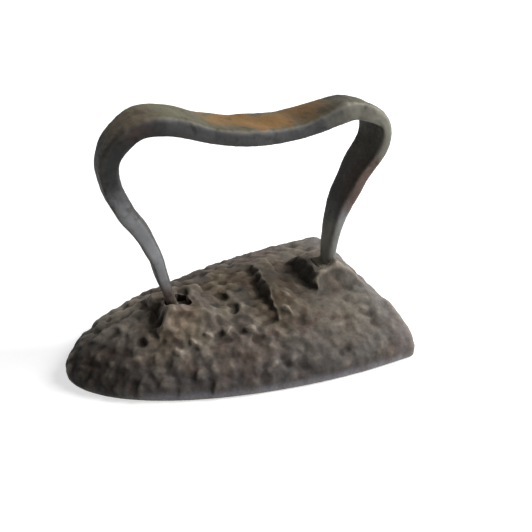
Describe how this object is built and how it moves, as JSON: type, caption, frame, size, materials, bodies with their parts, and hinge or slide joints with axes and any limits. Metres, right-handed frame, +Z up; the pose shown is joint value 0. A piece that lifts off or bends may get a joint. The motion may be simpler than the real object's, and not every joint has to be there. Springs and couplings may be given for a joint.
{
  "type": "flat iron",
  "caption": "Solid cast iron flat iron with a boat-shaped sole, a rounded pitted back and a forged strap handle wedged into two raised bosses; heated on a stove to press cloth by hand.",
  "frame": {"origin": "middle of the sole's length and width, on the plane of the sole", "axes": "+X towards the toe, +Y towards the left side seen from above with the toe ahead, +Z up"},
  "size_m": [0.162, 0.111, 0.1232],
  "materials": {
    "cast_body": "heavily pitted, rusted and browned casting",
    "forged_handle": "hand-worn forged bar, dark slate grey with orange-brown rust on the grip",
    "iron_wedges": "dark rusted bar iron"
  },
  "bodies": {
    "root": {"body": "cast_body", "handle": "forged_handle", "front_wedge": "iron_wedges", "rear_wedge": "iron_wedges"}
  },
  "joints": []
}
